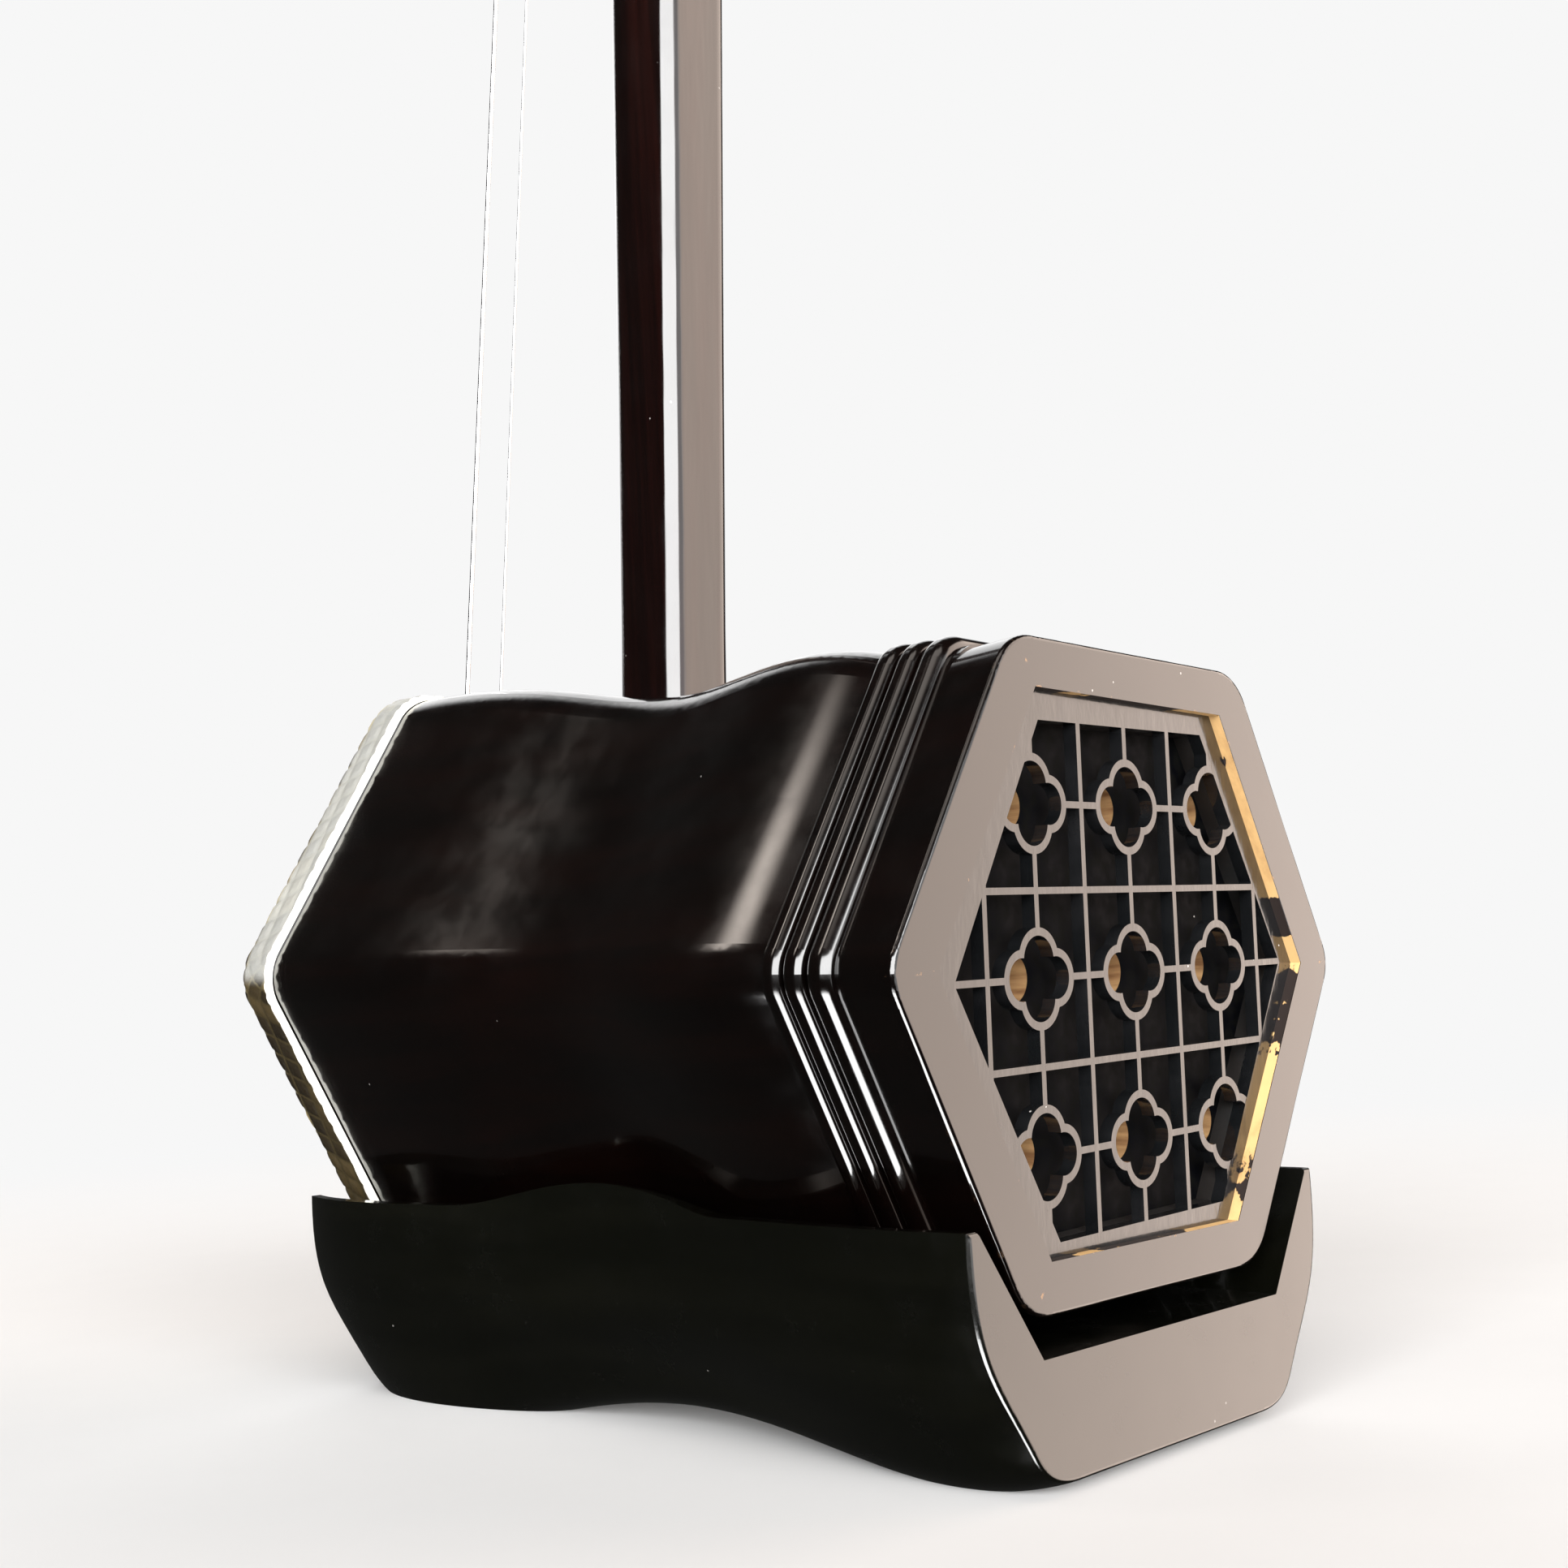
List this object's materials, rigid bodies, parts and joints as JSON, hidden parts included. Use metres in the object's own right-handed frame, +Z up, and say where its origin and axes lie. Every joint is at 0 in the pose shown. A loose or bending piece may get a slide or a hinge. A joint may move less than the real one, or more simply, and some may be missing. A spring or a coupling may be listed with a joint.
{
  "type": "erhu",
  "caption": "Two-stringed upright fiddle: waisted hexagonal sound box with a snakeskin head and lattice window on a cradle base, slim neck with rear tuning pegs.",
  "frame": {"origin": "on the floor plane under the base, on the mirror plane, at the neck's bolt through the base", "axes": "+Z up; the skin and the strings face -Y, the lattice window and the pegs' handles face +Y; X runs across the instrument"},
  "size_m": [0.1084, 0.18, 0.7839],
  "materials": {
    "lacquered_wood": "dark gloss lacquer",
    "lattice_wood": "dark gloss lacquer",
    "bare_wood": "raw wood with stain run over it",
    "skin": "snakeskin, dry and slightly glossy",
    "peg_wood": "dark gloss lacquer",
    "inlay": "polished bone colour",
    "string_steel": "bright wound steel",
    "thread": "waxed cotton thread",
    "bridge_wood": "bare pale wood, satin",
    "felt": "matte felt",
    "brass_fittings": "polished"
  },
  "bodies": {
    "instrument": {"neck": "lacquered_wood", "stave_top": "lacquered_wood", "stave_upper_right": "lacquered_wood", "stave_lower_right": "lacquered_wood", "stave_bottom": "lacquered_wood", "stave_lower_left": "lacquered_wood", "stave_upper_left": "lacquered_wood", "base": "lacquered_wood", "window_lattice": "lattice_wood", "window_backing": "lattice_wood", "window_liner": "bare_wood", "python_skin": "skin", "head_inlay": "inlay", "string_inner": "string_steel", "string_outer": "string_steel", "bridge": "bridge_wood", "damper_pad": "felt", "cradle_felt": "felt", "base_bolt": "brass_fittings", "base_washer": "brass_fittings", "tail_hook": "brass_fittings", "hook_screw": "brass_fittings"},
    "upper_peg": {"peg_upper": "peg_wood", "peg_button_upper": "inlay", "string_winding_upper": "string_steel"},
    "lower_peg": {"peg_lower": "peg_wood", "peg_button_lower": "inlay", "string_winding_lower": "string_steel"},
    "nut": {"nut_loop": "thread"}
  },
  "joints": [
    {"name": "upper_peg_turn", "type": "hinge", "parent": "instrument", "child": "upper_peg", "pos_m": [0, 0.0342, 0.69916], "axis": [0, 0.9988, -0.0489], "continuous": true},
    {"name": "lower_peg_turn", "type": "hinge", "parent": "instrument", "child": "lower_peg", "pos_m": [0, 0.03038, 0.62126], "axis": [0, 0.9988, -0.0489], "continuous": true},
    {"name": "nut_slide", "type": "slide", "parent": "instrument", "child": "nut", "axis": [0, 0.0489, 0.9988], "range_m": [0, 0.03]}
  ]
}
